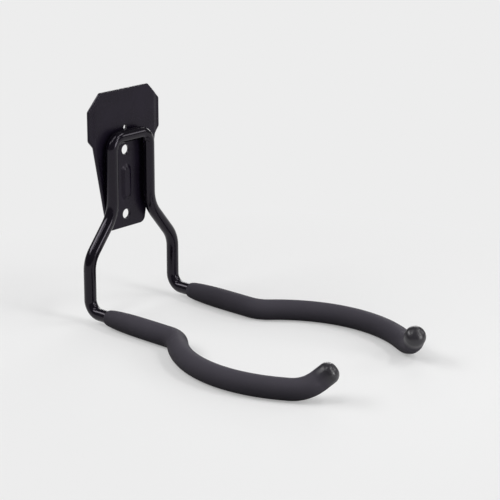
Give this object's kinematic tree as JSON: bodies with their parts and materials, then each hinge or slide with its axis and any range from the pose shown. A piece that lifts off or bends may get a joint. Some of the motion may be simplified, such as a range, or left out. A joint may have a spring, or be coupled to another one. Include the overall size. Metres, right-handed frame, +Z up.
{
  "type": "utility hook",
  "caption": "Wall hook for tools and cords: a bent rod on a stamped screw-on plate, with soft sleeves on its outward-curved arms.",
  "frame": {"origin": "on the wall plane at the plate's rear face, halfway between the two screw holes", "axes": "-Y points from the wall into the room, +Z up, +X to the right as seen from the room"},
  "size_m": [0.147, 0.2136, 0.1473],
  "materials": {
    "plate_coating": "satin black powder coat",
    "rod_coating": "glossy black coat",
    "sleeve": "matt, glossier at the closed end",
    "weld": "coated over with the rod"
  },
  "bodies": {
    "root": {"backplate": "plate_coating", "hook_rod": "rod_coating", "left_sleeve": "sleeve", "right_sleeve": "sleeve", "left_weld": "weld", "right_weld": "weld", "bar_weld": "weld"}
  },
  "joints": []
}
